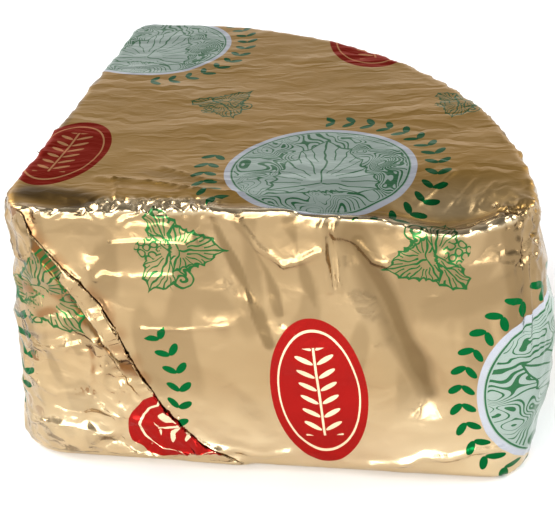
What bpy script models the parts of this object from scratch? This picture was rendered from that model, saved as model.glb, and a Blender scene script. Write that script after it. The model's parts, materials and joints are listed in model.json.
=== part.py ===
# Wedge of blue cheese, a quarter of a half-height wheel, shut in one folded sheet of printed foil.
# Metres, +Z up. The flat bottom lies on Z = 0, the front side runs along +X from the tip corner,
# and the plan of the solid is centred on the origin.

import math

import bpy
import numpy as np
from mathutils import Vector, noise

# Plan and height of the wedge. Lengths in this file are millimetres unless a name says otherwise.
MM = 0.001
FRONT_SIDE = 150.0
LEFT_SIDE = 159.0
TIP_ANGLE = math.radians(88.66)
HEIGHT = 87.0
TIP_ROUND = 15.0
RIGHT_ROUND = 12.0
FAR_ROUND = 6.0
POLE = (62.0, 64.0)
POLE_DEPTH = 62.0

# The soft cheese has settled: walls bulge at half height, and the front and the left spread at the
# bottom. Shares of each movement are given at these levels, as parts of the height.
BODY_LEVELS = (0.0, 0.08, 0.25, 0.5, 0.75, 1.0)
BULGE_SHARE = (0.0, 0.15, 0.66, 1.0, 0.52, 0.0)
SPREAD_SHARE = (1.0, 0.95, 0.6, 0.25, 0.0, 0.0)
FRONT_BULGE = 2.0
RIM_BULGE = 7.0
LEFT_BULGE = 1.8
FRONT_SPREAD = 5.5
RIM_SPREAD = 1.1
LEFT_SPREAD_TIP = 8.9
LEFT_SPREAD_FAR = 2.0
BOTTOM_ROUND = 2.6

# Crimped crest along the top front edge, with a gutter behind it.
CREST_RISE = 1.3
CREST_WIDTH = 1.6
GUTTER_DEPTH = 2.2
GUTTER_PLACE = 5.0
GUTTER_WIDTH = 2.8
TOP_SAG = 1.2

# The top front edge hangs lower towards the right corner: depth of the dip along the front, the
# level where it begins on the wall, and how far it reaches back over the top.
DIP_PLACES = (82.0, 92.0, 107.0, 114.0, 120.0, 125.0, 130.5, 136.0, 141.0, 146.0, 151.0)
DIP_DEPTHS = (0.0, 1.8, 2.6, 4.3, 5.9, 6.9, 6.6, 5.2, 3.8, 2.3, 0.8)
DIP_FOOT = 67.0
DIP_REACH = 30.0

# Flap of foil folded round the tip corner: its free edge on the front, from the top to the bottom.
FLAP_LEVELS = (0.0, 2.8, 4.9, 8.7, 14.1, 21.3, 28.5, 33.9, 46.1, 57.7, 64.2, 69.6, 76.8, 81.6, 87.0)
FLAP_REACH = (67.0, 64.1, 60.6, 53.8, 48.2, 42.8, 39.1, 36.7, 32.2, 27.8, 22.7, 17.6, 12.9, 10.1, 8.5)
FLAP_STEP = 1.3
FLAP_STEP_RUN = 0.5
FLAP_FOLD_INSET = 4.5
FLAP_FOLD_RISE = 0.5

# Creases on the front: points along the front and above the bottom, rise and width.
CREASES = (
    (((33.1, 77.2), (44.7, 78.0), (54.6, 77.5)), 0.9, 2.2),
    (((25.6, 69.2), (27.4, 65.4), (34.7, 66.8), (49.9, 67.2)), 0.9, 2.2),
    (((38.8, 49.8), (51.9, 49.6), (64.6, 51.0)), 0.9, 2.2),
    (((70.1, 84.2), (75.3, 75.9), (81.9, 71.1), (91.5, 75.1)), 0.9, 2.2),
    (((93.8, 83.5), (96.1, 80.5), (102.5, 76.7), (110.2, 71.2)), 0.8, 2.2),
    (((93.0, 84.1), (93.6, 72.7), (94.3, 61.9)), 0.6, 1.8),
    (((100.3, 75.7), (108.1, 60.4), (120.2, 29.6)), -1.1, 6.0),
    (((63.3, 80.0), (69.9, 63.1), (78.9, 61.7)), -0.7, 4.0),
    (((48.2, 4.3), (64.4, 7.5), (79.7, 7.1)), 0.8, 2.5),
    (((112.6, 4.6), (127.3, 10.2), (141.7, 12.4)), 0.8, 2.5),
)
CRUMPLE_RISE = 0.35
CRUMPLE_SIZE = 9.0
TOP_CRUMPLE_SIZE = 21.0

# Rows of the loft: levels up the walls, and distances in from the top edge.
WALL_LEVELS = (0.0, 0.7, 2.6, 5.5, 8.8, 12.2, 15.7, 19.2, 22.8, 26.4, 30.0, 33.6, 37.2, 40.8,
               44.4, 48.0, 51.6, 55.2, 58.8, 62.4, 66.0, 69.6, 73.2, 76.8, 80.0, 82.8, 85.0, 86.5)
TOP_INSETS = (0.9, 2.0, 3.4, 5.0, 7.0, 9.6, 13.0, 17.5, 23.0, 29.5, 37.0, 45.5)
FLAP_COLUMNS = 14
FRONT_COLUMNS = 30
CORNER_COLUMNS = 6
RIM_COLUMNS = 36
FAR_COLUMNS = 4
LEFT_COLUMNS = 22
FLAP_FADE = 26.0


def corner_arc(start, corner, end, count):
    """Points of a near-circular arc that starts and ends along the two sides of a corner."""
    t = np.linspace(0.0, 1.0, count)[:, None]
    weight = math.cos(math.radians(44.0))
    a, b, c = (1 - t) ** 2, 2 * weight * t * (1 - t), t ** 2
    return (a * start + b * corner + c * end) / (a + b + c)


def plan_outline():
    """Closed plan outline from the middle of the tip, front side first, with marks at its corners."""
    tip = np.zeros(2)
    right = np.array((FRONT_SIDE, 0.0))
    far = np.array((math.cos(TIP_ANGLE), math.sin(TIP_ANGLE))) * LEFT_SIDE
    phi = np.linspace(0.0, math.pi / 2, 600)[:, None]
    rim = right * np.cos(phi) + far * np.sin(phi)
    run = np.concatenate(([0.0], np.cumsum(np.linalg.norm(np.diff(rim, axis=0), axis=1))))
    rim_start = np.array([np.interp(RIGHT_ROUND, run, rim[:, i]) for i in (0, 1)])
    rim_end = np.array([np.interp(run[-1] - FAR_ROUND, run, rim[:, i]) for i in (0, 1)])
    inner = rim[(run > RIGHT_ROUND + 0.2) & (run < run[-1] - FAR_ROUND - 0.2)]
    front_a = np.array((TIP_ROUND, 0.0))
    front_b = np.array((FRONT_SIDE - RIGHT_ROUND, 0.0))
    left_a = far * (1 - FAR_ROUND / LEFT_SIDE)
    left_b = far * (TIP_ROUND / LEFT_SIDE)
    tip_arc = corner_arc(left_b, tip, front_a, 41)
    line = np.linspace(0.0, 1.0, 120)[1:-1, None]
    parts = (
        tip_arc[20:],
        front_a + (front_b - front_a) * line,
        corner_arc(front_b, right, rim_start, 31),
        inner,
        corner_arc(rim_end, far, left_a, 21),
        left_a + (left_b - left_a) * line,
        tip_arc[:21],
    )
    points = np.concatenate(parts)
    run = np.concatenate(([0.0], np.cumsum(np.linalg.norm(np.diff(points, axis=0), axis=1))))
    ends = np.cumsum([len(part) for part in parts])
    marks = [run[end - 1] for end in ends[:-1]]
    tangent = np.gradient(points, run + np.arange(len(run)) * 1e-9, axis=0)
    normal = np.stack((tangent[:, 1], -tangent[:, 0]), axis=1)
    normal /= np.linalg.norm(normal, axis=1)[:, None]
    return points, normal, run, marks


POINTS, NORMALS, RUN, MARKS = plan_outline()
FRONT_START, FRONT_END, RIM_START, RIM_END, LEFT_START, LEFT_END = MARKS


def columns(level, warp):
    """Runs along the outline of every column; near the flap they follow its free edge."""
    edge = FRONT_START + np.interp(level, FLAP_LEVELS, FLAP_REACH) - TIP_ROUND
    plain = FRONT_START + 30.0 - TIP_ROUND
    edge = edge * warp + plain * (1 - warp)
    share = np.linspace(0.0, 1.0, FLAP_COLUMNS + 1) ** 1.15
    flap = edge * share
    front = np.linspace(edge + FLAP_STEP_RUN, FRONT_END, FRONT_COLUMNS + 1)[:-1]
    right = np.linspace(FRONT_END, RIM_START, CORNER_COLUMNS + 1)[:-1]
    rim = np.linspace(RIM_START, RIM_END, RIM_COLUMNS + 1)[:-1]
    far = np.linspace(RIM_END, LEFT_START, FAR_COLUMNS + 1)[:-1]
    left = np.linspace(LEFT_START, LEFT_END, LEFT_COLUMNS + 1)[:-1]
    tip = np.linspace(LEFT_END, RUN[-1], 4)[:-1]
    return np.concatenate((flap, front, right, rim, far, left, tip))


def smooth(value):
    """Soft step from 0 to 1."""
    value = np.clip(value, 0.0, 1.0)
    return value * value * (3 - 2 * value)


def crease_rise(along, level):
    """Rise of the front over its creases at one place."""
    total = 0.0
    for points, rise, width in CREASES:
        best = 1e9
        for (ax, az), (bx, bz) in zip(points[:-1], points[1:]):
            dx, dz = bx - ax, bz - az
            t = ((along - ax) * dx + (level - az) * dz) / (dx * dx + dz * dz)
            t = min(max(t, 0.0), 1.0)
            best = min(best, math.hypot(along - ax - t * dx, level - az - t * dz))
        total += rise * math.exp(-(best / width) ** 2)
    return total


def crumple(x, y, z, size):
    """Soft facets of crumpled foil, from -1 to 1, fixed in space."""
    place = Vector((x, y, z)) / size
    return noise.noise(place) + 0.5 * noise.noise(place * 2.1 + Vector((7.3, 1.9, 4.4)))


def dipped(x, y, z):
    """Level of a place after the top front edge has sunk towards the right corner."""
    depth = float(np.interp(x, DIP_PLACES, DIP_DEPTHS))
    depth *= float(smooth((z - DIP_FOOT) / (HEIGHT - DIP_FOOT))) * float(smooth(1 - y / DIP_REACH))
    return z - depth


def wall_offset(run, level, x, y, nx, ny):
    """Outward offset of the wall from the plan outline."""
    bulge = float(np.interp(level / HEIGHT, BODY_LEVELS, BULGE_SHARE))
    spread = float(np.interp(level / HEIGHT, BODY_LEVELS, SPREAD_SHARE))
    along = min(max(x / FRONT_SIDE, 0.0), 1.0)
    back = min(max(y / LEFT_SIDE, 0.0), 1.0)
    front_share = max(-ny, 0.0) ** 2
    left_share = max(-nx, 0.0) ** 2
    rim_share = 1.0 - front_share - left_share
    left_spread = LEFT_SPREAD_TIP + (LEFT_SPREAD_FAR - LEFT_SPREAD_TIP) * back
    offset = rim_share * (RIM_BULGE * bulge + RIM_SPREAD * (1 - back) * spread)
    offset += front_share * (FRONT_BULGE * bulge * 4 * along * (1 - along) + FRONT_SPREAD * along * spread)
    offset += left_share * (LEFT_BULGE * bulge + left_spread * spread)
    if run < FRONT_END:
        offset += crease_rise(x, dipped(x, 0.0, level)) * smooth((HEIGHT - level) / 4.0)
    calm = smooth(level / 6.0) * smooth((HEIGHT - level) / 3.0)
    offset += CRUMPLE_RISE * crumple(x, y, level, CRUMPLE_SIZE) * calm
    return offset


def flap_rise(run, level):
    """Height of the folded flap over the front and over the tip corner."""
    edge = FRONT_START + float(np.interp(level, FLAP_LEVELS, FLAP_REACH)) - TIP_ROUND
    if run > edge + 0.01 and run < LEFT_START:
        return 0.0
    if run >= LEFT_START:
        return 0.5 * float(smooth(1 - (RUN[-1] - run) / 30.0))
    back = edge - run
    fold = FLAP_FOLD_RISE * math.exp(-((back - FLAP_FOLD_INSET) / 2.0) ** 2)
    fold *= float(smooth((level - 26.0) / 8.0))
    return 0.5 + (FLAP_STEP - 0.5) * math.exp(-((back / 16.0) ** 2)) + fold


def wall_ring(level):
    """One loop of the walls at a level."""
    inset = 0.0
    if level < BOTTOM_ROUND:
        drop = 1 - level / BOTTOM_ROUND
        inset = BOTTOM_ROUND * (1 - math.sqrt(max(0.0, 1 - drop * drop)))
    ring = []
    for run in columns(level, 1.0):
        x, y = (float(np.interp(run, RUN, POINTS[:, i])) for i in (0, 1))
        nx, ny = (float(np.interp(run, RUN, NORMALS[:, i])) for i in (0, 1))
        size = math.hypot(nx, ny)
        nx, ny = nx / size, ny / size
        offset = wall_offset(run, level, x, y, nx, ny) - inset
        offset += flap_rise(run, level) * float(smooth((HEIGHT + 1 - level) / 5.0))
        ring.append((x + nx * offset, y + ny * offset, level))
    return ring


def top_ring(inset):
    """One loop of the top at a distance in from its edge."""
    share = inset / POLE_DEPTH
    warp = float(smooth(1 - inset / FLAP_FADE))
    ring = []
    for run in columns(HEIGHT, warp):
        x, y = (float(np.interp(run, RUN, POINTS[:, i])) for i in (0, 1))
        ny = float(np.interp(run, RUN, NORMALS[:, 1]))
        front = max(-ny, 0.0) ** 3
        side = 0.35 + 0.65 * front
        px = x + (POLE[0] - x) * share
        py = y + (POLE[1] - y) * share
        ends = 0.55 + 0.45 * abs(2 * x / FRONT_SIDE - 1) ** 1.5
        crest = CREST_RISE * math.exp(-(inset / CREST_WIDTH) ** 2) * side
        gutter = GUTTER_DEPTH * math.exp(-((inset - GUTTER_PLACE) / GUTTER_WIDTH) ** 2) * ends * front
        sag = TOP_SAG * float(smooth(inset / 40.0))
        ripple = CRUMPLE_RISE * crumple(px, py, HEIGHT, TOP_CRUMPLE_SIZE) * float(smooth(inset / 4.0))
        ring.append((px, py, HEIGHT + crest - gutter - sag + ripple))
    return ring


def loft(rings, pole):
    """Vertices and faces of a closed loft with a flat bottom and a pole on its top."""
    count = len(rings[0])
    verts = [place for ring in rings for place in ring] + [pole]
    faces = [tuple(reversed(range(count)))]
    for row in range(len(rings) - 1):
        low, high = row * count, (row + 1) * count
        for i in range(count):
            j = (i + 1) % count
            faces.append((low + i, low + j, high + j, high + i))
    last = (len(rings) - 1) * count
    faces += [(last + i, last + (i + 1) % count, len(verts) - 1) for i in range(count)]
    return verts, faces


def foil_material():
    """Gold foil with a soft sheen."""
    material = bpy.data.materials.new("gold_foil")
    material.use_nodes = True
    shader = material.node_tree.nodes["Principled BSDF"]
    shader.inputs["Base Color"].default_value = (0.50, 0.34, 0.16, 1.0)
    shader.inputs["Metallic"].default_value = 0.85
    shader.inputs["Roughness"].default_value = 0.38
    return material


for item in list(bpy.data.objects):
    bpy.data.objects.remove(item, do_unlink=True)

wedge_collection = bpy.data.collections.new("gorgonzola_wedge")
bpy.context.scene.collection.children.link(wedge_collection)

# The wedge: one loft, from the bottom loop up the walls and in over the top.
loops = [wall_ring(level) for level in WALL_LEVELS] + [top_ring(inset) for inset in TOP_INSETS]
loops = [[(x, y, dipped(x, y, z)) for x, y, z in loop] for loop in loops]
top_middle = (POLE[0], POLE[1], HEIGHT - TOP_SAG)
vertices, polygons = loft(loops, top_middle)
places = np.array(vertices)
middle = (places[:, :2].max(axis=0) + places[:, :2].min(axis=0)) / 2
places[:, :2] -= middle
mesh = bpy.data.meshes.new("foil_wrapped_wedge")
mesh.from_pydata((places * MM).tolist(), [], polygons)
mesh.update()
wedge = bpy.data.objects.new("foil_wrapped_wedge", mesh)
wedge_collection.objects.link(wedge)
mesh.materials.append(foil_material())
mesh.shade_smooth()
mesh.set_sharp_from_angle(angle=math.radians(40.0))
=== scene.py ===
import json
import math
from functools import partial

import bpy
import numpy as np
from mathutils import Matrix, Vector, noise

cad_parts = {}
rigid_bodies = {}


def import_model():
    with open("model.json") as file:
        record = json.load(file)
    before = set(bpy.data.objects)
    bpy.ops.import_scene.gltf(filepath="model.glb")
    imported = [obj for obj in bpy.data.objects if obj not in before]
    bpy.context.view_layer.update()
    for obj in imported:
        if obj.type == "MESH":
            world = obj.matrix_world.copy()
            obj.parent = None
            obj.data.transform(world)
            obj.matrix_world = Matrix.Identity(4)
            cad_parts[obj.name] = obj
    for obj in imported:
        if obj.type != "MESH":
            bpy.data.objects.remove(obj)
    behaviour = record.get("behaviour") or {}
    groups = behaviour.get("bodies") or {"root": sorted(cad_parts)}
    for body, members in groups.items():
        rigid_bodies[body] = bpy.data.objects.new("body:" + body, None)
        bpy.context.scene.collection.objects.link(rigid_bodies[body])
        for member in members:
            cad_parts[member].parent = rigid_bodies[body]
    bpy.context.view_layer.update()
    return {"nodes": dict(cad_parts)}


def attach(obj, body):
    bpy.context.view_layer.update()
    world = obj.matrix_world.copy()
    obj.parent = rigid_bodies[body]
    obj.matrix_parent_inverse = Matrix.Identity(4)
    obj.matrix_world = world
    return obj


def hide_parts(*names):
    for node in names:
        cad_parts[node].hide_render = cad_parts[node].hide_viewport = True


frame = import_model()

# The wrapped wedge. The real thing is a quarter of a half-height cheese wheel, shut in one sheet of
# gold-lacquered foil that is creased over its edges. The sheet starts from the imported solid, is
# remeshed finely, and is then creased and crumpled by moving its points. Lengths are millimetres.
MM = 0.001
TIP_AT = (-74.45, -80.29)
HEIGHT = 87.0
FRONT_SIDE = 150.0
TIP_ROUND = 15.0
RIGHT_ROUND = 12.0
SHEET_MESH = 1.33
SAME_PLACE = 0.01
MESH_PASSES = 4

bpy.ops.object.select_all(action="DESELECT")
solid = frame["nodes"]["foil_wrapped_wedge"]
solid.select_set(True)
bpy.context.view_layer.objects.active = solid
bpy.ops.object.duplicate()
wrapper = bpy.context.view_layer.objects.active
wrapper.name = "foil_wrapper"
wrapper.data.name = "foil_wrapper"
for key in [key for key in wrapper.keys() if key.startswith("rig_")]:
    del wrapper[key]
bpy.ops.object.parent_clear(type="CLEAR_KEEP_TRANSFORM")
bpy.ops.object.mode_set(mode="EDIT")
bpy.ops.mesh.select_all(action="SELECT")
bpy.ops.mesh.remove_doubles(threshold=SAME_PLACE * MM)
bpy.ops.mesh.normals_make_consistent(inside=False)
bpy.ops.object.mode_set(mode="OBJECT")
remesh = wrapper.modifiers.new("even_mesh", "REMESH")
remesh.mode = "VOXEL"
remesh.voxel_size = SHEET_MESH * MM
bpy.ops.object.modifier_apply(modifier=remesh.name)


def soften(piece, passes):
    """Smooths the mesh of the active piece a few times over."""
    modifier = piece.modifiers.new("soften", "SMOOTH")
    modifier.factor = 0.5
    modifier.iterations = passes
    bpy.ops.object.modifier_apply(modifier=modifier.name)


soften(wrapper, MESH_PASSES)


def mesh_points(mesh):
    """The mesh's points in millimetres from the tip corner, and their outward normals."""
    places = np.empty(len(mesh.vertices) * 3)
    mesh.vertices.foreach_get("co", places)
    places = places.reshape(-1, 3) / MM
    places[:, :2] -= TIP_AT
    normals = np.empty(len(mesh.vertices) * 3)
    mesh.vertex_normals.foreach_get("vector", normals)
    return places, normals.reshape(-1, 3)


def put_points(mesh, places):
    """Writes points in millimetres from the tip corner back to the mesh."""
    moved = places.copy()
    moved[:, :2] += TIP_AT
    mesh.vertices.foreach_set("co", (moved * MM).ravel())
    mesh.update()


# The front, a strip of the top behind it and the right corner are what the eye is nearest to, so
# their mesh is made twice as fine.
FINE_STRIP = 13.0
FINE_CORNER, FINE_REACH = (142.0, 14.0), 26.0
places, normals = mesh_points(wrapper.data)
x, y, level = places.T
upward = normals[:, 2] > 0.3
fine = (normals[:, 1] < -0.5) | (upward & (y < FINE_STRIP))
fine |= upward & (np.hypot(x - FINE_CORNER[0], y - FINE_CORNER[1]) < FINE_REACH)
fine |= (x > 136.0) & (y < 24.0) & (level > 25.0) & (normals[:, 2] < 0.5)
fine &= level > 1.0
wrapper.data.vertices.foreach_set("select", np.zeros(len(fine), bool))
wrapper.data.edges.foreach_set("select", np.zeros(len(wrapper.data.edges), bool))
for face in wrapper.data.polygons:
    face.select = all(fine[i] for i in face.vertices)
bpy.ops.object.mode_set(mode="EDIT")
bpy.ops.mesh.select_mode(type="FACE")
bpy.ops.mesh.subdivide(number_cuts=1, smoothness=0.0)
bpy.ops.mesh.select_all(action="DESELECT")
bpy.ops.object.mode_set(mode="OBJECT")

# Where the rim starts along the foil, the radius that its length is counted at, and the distance
# along the foil that the straight left side would have at its near end.
RIM_START, RIM_RADIUS, LEFT_START = 144.6, 153.0, 6.4


def wall_run(x, y):
    """Distance along the foil round the walls: 0 at the tip, rising along the front and the rim,
    and falling back along the left side."""
    run = x.copy()
    turn = np.arctan2(x - (FRONT_SIDE - RIGHT_ROUND), RIGHT_ROUND - y)
    corner = (x > FRONT_SIDE - RIGHT_ROUND) & (y <= RIGHT_ROUND)
    run[corner] = (FRONT_SIDE - RIGHT_ROUND + RIGHT_ROUND * turn)[corner]
    rim = (y > RIGHT_ROUND) & (x > 0.04 * y + 12)
    run[rim] = (RIM_START + RIM_RADIUS * np.arctan2(y, x))[rim]
    left = (y > TIP_ROUND) & ~rim
    run[left] = (LEFT_START - y)[left]
    turn = np.arctan2(TIP_ROUND - x, TIP_ROUND - y)
    tip = (x < TIP_ROUND) & (y <= TIP_ROUND)
    run[tip] = (TIP_ROUND - TIP_ROUND * turn)[tip]
    return run


def line_distance(points, u, v):
    """Distance of many places to a line of points, and how far along the line each lies."""
    best = np.full(len(u), 1e9)
    along = np.zeros(len(u))
    run = 0.0
    for (ax, ay), (bx, by) in zip(points[:-1], points[1:]):
        dx, dy = bx - ax, by - ay
        size = math.hypot(dx, dy)
        t = np.clip(((u - ax) * dx + (v - ay) * dy) / size ** 2, 0.0, 1.0)
        gap = np.hypot(u - ax - t * dx, v - ay - t * dy)
        nearer = gap < best
        best[nearer] = gap[nearer]
        along[nearer] = (run + t * size)[nearer]
        run += size
    return best, along


def ridge(points, width, u, v):
    """Height from 0 to 1 of a sharp ridge along a line of points, at many places."""
    gap, _ = line_distance(points, u, v)
    return np.clip(1 - gap / width, 0.0, 1.0)


def ramp(value, nought, one):
    """Soft step from 0, where the value is `nought`, to 1, where it is `one`."""
    share = np.clip((value - nought) / (one - nought), 0.0, 1.0)
    return share * share * (3 - 2 * share)


def crumple(places, size, seed, ridged=True):
    """Crumple of foil at one size: sharp folds between soft facets, from about -1 to 1."""
    offset = Vector((seed * 3.7, seed * 1.3, seed * 5.1))
    size = np.broadcast_to(np.asarray(size, float), (3,))
    found = np.array([noise.noise(Vector(p) + offset) for p in places / size])
    return 1.0 - 4.0 * np.abs(found) if ridged else 2.0 * found


# The free edge of the flap, as levels and distances along the foil, and where its other end is.
FLAP_EDGE = (
    (0.0, 67.0), (2.8, 64.1), (4.9, 60.6), (8.7, 53.8), (14.1, 48.2), (21.3, 42.8), (28.5, 39.1),
    (33.9, 36.7), (46.1, 32.2), (57.7, 27.8), (64.2, 22.7), (69.6, 17.6), (76.8, 12.9), (81.6, 10.1),
    (87.0, 8.5),
)
FLAP_END = -38.0

# The top front edge hangs lower towards the right corner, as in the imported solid: places along the
# front, and how far the edge has sunk there.
DIP_PLACES = (82.0, 92.0, 107.0, 114.0, 120.0, 125.0, 130.5, 136.0, 141.0, 146.0, 151.0)
DIP_DEPTHS = (0.0, 1.8, 2.6, 4.3, 5.9, 6.9, 6.6, 5.2, 3.8, 2.3, 0.8)

# Creases pressed into the front: points along it and above the bottom, share of the full rise, and
# half width. Where the share is below 0 the crease is a groove.
CREASE_RISE = 0.8
FRONT_CREASES = (
    (((33.1, 77.2), (40.0, 77.9), (54.6, 77.5)), 0.6, 0.9),
    (((25.6, 69.2), (27.4, 65.4), (30.0, 67.6), (34.7, 66.4)), 0.65, 1.0),
    (((38.0, 66.4), (44.0, 67.0), (49.9, 67.2)), 0.5, 0.85),
    (((38.8, 49.8), (51.9, 49.6), (64.6, 51.4)), 0.5, 0.85),
    (((70.1, 84.2), (75.3, 75.9), (81.9, 71.1)), 0.8, 1.5),
    (((81.9, 71.1), (86.0, 72.0), (91.5, 75.1)), 0.9, 1.5),
    (((93.8, 83.5), (96.1, 80.5), (102.5, 76.7), (106.4, 71.8), (110.2, 71.2)), 0.8, 1.5),
    (((92.6, 83.0), (93.1, 72.1), (94.3, 62.8)), 1.0, 1.2),
    (((94.7, 84.0), (95.0, 73.0), (95.6, 64.0)), -0.8, 0.9),
    (((96.5, 83.0), (96.9, 72.1), (97.1, 63.5)), 1.0, 1.2),
    (((26.2, 81.8), (25.1, 76.5), (26.1, 73.0), (28.5, 73.1), (30.1, 76.3), (30.8, 81.2)), -0.5, 1.0),
    (((63.3, 82.0), (69.0, 66.0), (71.5, 55.0)), 0.6, 1.4),
    (((75.0, 68.0), (79.0, 60.0), (80.5, 52.0)), -0.6, 1.6),
    (((48.2, 5.3), (56.0, 7.0), (64.4, 7.0), (72.0, 5.4), (79.7, 7.6)), 0.8, 1.6),
    (((104.0, 4.0), (112.6, 5.2), (120.0, 8.6), (127.3, 8.2), (134.0, 11.0), (141.7, 12.0)), 1.0, 1.8),
    (((133.0, 83.5), (128.0, 79.0), (126.0, 74.0)), 0.7, 1.4),
)
# Broad facets of the front, where the foil is drawn tight from one crease to the next: points, rise
# and half width.
FRONT_FACETS = (
    (((100.0, 76.0), (108.1, 60.4), (121.0, 28.0)), -1.3, 7.5),
    (((62.0, 84.0), (66.0, 70.0), (77.0, 54.0)), -0.9, 6.0),
    (((126.0, 70.0), (140.0, 72.0)), 0.8, 6.0),
)
# Folds drawn over the flatter top: points on the plan, rise and half width.
TOP_FOLDS = (
    (((25.0, 22.0), (40.0, 20.0), (60.0, 13.0), (70.0, 11.0)), 0.8, 1.3),
    (((30.0, 21.0), (33.0, 14.0), (34.0, 5.0)), 0.7, 1.2),
    (((42.0, 30.0), (56.0, 22.0), (66.0, 19.0)), 0.5, 1.2),
    (((118.0, 12.0), (128.0, 26.0)), 0.35, 1.2),
    (((126.0, 10.0), (134.0, 22.0)), 0.4, 1.2),
    (((133.0, 10.0), (139.0, 20.0)), 0.4, 1.2),
)
FOLD_SHARPNESS = 1.3
# A face begins to count as facing a way at the first share of its normal, and fully does at the
# second.
FACING = (0.35, 0.75)
CALM_FOOT = 5.0
# Places and reaches of the crest, the gutter behind it, the folds and the knot of the right corner,
# the pinched top edge, and the folds along the foot.
CREST_REACH = 7.0
GUTTER_PLACE, GUTTER_WIDTH, GUTTER_FILL, CORNER_FILL = 5.0, 2.8, 1.1, 0.9
CORNER_RUN, CORNER_REACH = 147.0, 8.0
KNOT_AT, KNOT_REACH, KNOT_LEVEL = (147.0, 6.0), 13.0, 70.0
RIGHT_TOP_AT, RIGHT_TOP_REACH = (142.0, 12.0), 30.0
PINCH_LEVEL, FOOT_FOLD_LEVEL = 78.0, 16.0


def edge_run(level):
    """Where the flap's free edge lies along the foil at each level."""
    return np.interp(level, [z for z, _ in FLAP_EDGE], [s for _, s in FLAP_EDGE])


def sunk(x):
    """How far the top front edge has sunk at each place along the front."""
    return np.interp(x, DIP_PLACES, DIP_DEPTHS)


places, normals = mesh_points(wrapper.data)
x, y, level = places.T
run = wall_run(x, y)
facing_front = ramp(-normals[:, 1], *FACING)
facing_up = ramp(normals[:, 2], *FACING)
facing_down = ramp(-normals[:, 2], *FACING)
calm_foot = ramp(level, 0.0, CALM_FOOT)
on_front = facing_front * calm_foot
rim_and_left = (1 - facing_front) * (1 - facing_up) * (1 - facing_down) * calm_foot
height = np.zeros(len(level))
for points, share, width in FRONT_CREASES:
    height += CREASE_RISE * share * on_front * ridge(points, width, run, level)
for points, rise, width in FRONT_FACETS:
    height += rise * on_front * ridge(points, width, run, level)
for points, rise, width in TOP_FOLDS:
    height += rise * facing_up * ridge(points, width, x, y) ** FOLD_SHARPNESS

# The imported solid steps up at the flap's free edge. The flap has a sheet of its own here, so the
# wrapper lies lower below it, and lowest near the edge.
back = edge_run(level) - run
below = ramp(back, 0.0, 1.0) * (run > -25.0) * (1 - facing_up) * (1 - facing_down)
lower = 0.8 * np.exp(-(back / 16.0) ** 2) + 0.4 * np.exp(-(back / 4.0) ** 2)
height -= lower * below * ramp(level, HEIGHT + 1.0, HEIGHT - 4.0)

# A crimped crest runs along the top front edge. The gutter behind it is crushed full on the left,
# and shallow at the right corner, where the folds meet in a knot.
edge_level = HEIGHT - sunk(x)
edge_gap = np.hypot(np.maximum(y + 1.0, 0.0), np.maximum(edge_level - level, 0.0) * 1.2)
near_edge = ramp(edge_gap, CREST_REACH, 0.0) * (normals[:, 2] - normals[:, 1] > 0.3)
crimped = 0.20 + 0.45 * ramp(x, 72.0, 58.0)
crushed = ramp(x, 24.0, 30.0) * ramp(x, 68.0, 56.0)
filled = GUTTER_FILL * crushed + CORNER_FILL * ramp(x, 104.0, 116.0)
height += filled * facing_up * np.exp(-((y - GUTTER_PLACE) / GUTTER_WIDTH) ** 2)
crushed = crushed * ramp(y, 10.5, 6.5) * facing_up
right_top = ramp(np.hypot(x - RIGHT_TOP_AT[0], y - RIGHT_TOP_AT[1]), RIGHT_TOP_REACH, 0.0)
knot = ramp(np.hypot(x - KNOT_AT[0], y - KNOT_AT[1]), KNOT_REACH, 0.0) * (level > KNOT_LEVEL)
near_corner = ramp(np.abs(run - CORNER_RUN), CORNER_REACH, 0.0) * ramp(level, 30.0, 60.0)
near_corner *= 1 - facing_down

# Along the rim and the left side the sheet is pinched over the top edge, and it is gathered in folds
# beside the flap and along the foot.
pinched = ramp(np.abs(normals[:, 2] - 0.6), 0.5, 0.0) * (level > PINCH_LEVEL) * (y > 14.0)
beside_flap = rim_and_left * ramp(run, FLAP_END - 60.0, FLAP_END - 10.0) * (run < 0.0)
foot_folds = ramp(level, FOOT_FOLD_LEVEL, 0.0) * (1 - facing_down) * calm_foot

# Crumples by zone: where they are, their rise, the size of the folds along x, y and z, and a seed.
SHEET_CRUMPLES = (
    (on_front, 0.24, (26.0, 26.0, 20.0), 1),
    (on_front, 0.08, 9.0, 2),
    (facing_up, 0.115, (60.0, 22.0, 40.0), 3),
    (facing_up, 0.035, (26.0, 7.0, 20.0), 4),
    (facing_up * right_top, 0.34, 7.0, 5),
    (near_edge * crimped, 1.0, (4.5, 2.8, 2.8), 6),
    (near_edge, 0.2, (13.0, 6.0, 6.0), 15),
    (crushed, 0.90, (2.6, 3.4, 3.0), 14),
    (knot, 0.50, 2.6, 16),
    (near_corner, 0.65, (2.8, 2.8, 13.0), 7),
    (rim_and_left, 0.55, (24.0, 24.0, 16.0), 8),
    (rim_and_left, 0.24, 8.0, 9),
    (pinched, 0.35, (7.0, 7.0, 4.0), 18),
    (beside_flap, 0.30, (7.0, 7.0, 6.0), 17),
    (foot_folds, 0.35, (14.0, 14.0, 7.0), 10),
)
for zone, rise, folds, seed in SHEET_CRUMPLES:
    height += rise * zone * crumple(places, folds, seed)
places += normals * (height * (1 - facing_down))[:, None]
put_points(wrapper.data, places)
wrapper.data.shade_smooth()

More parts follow.
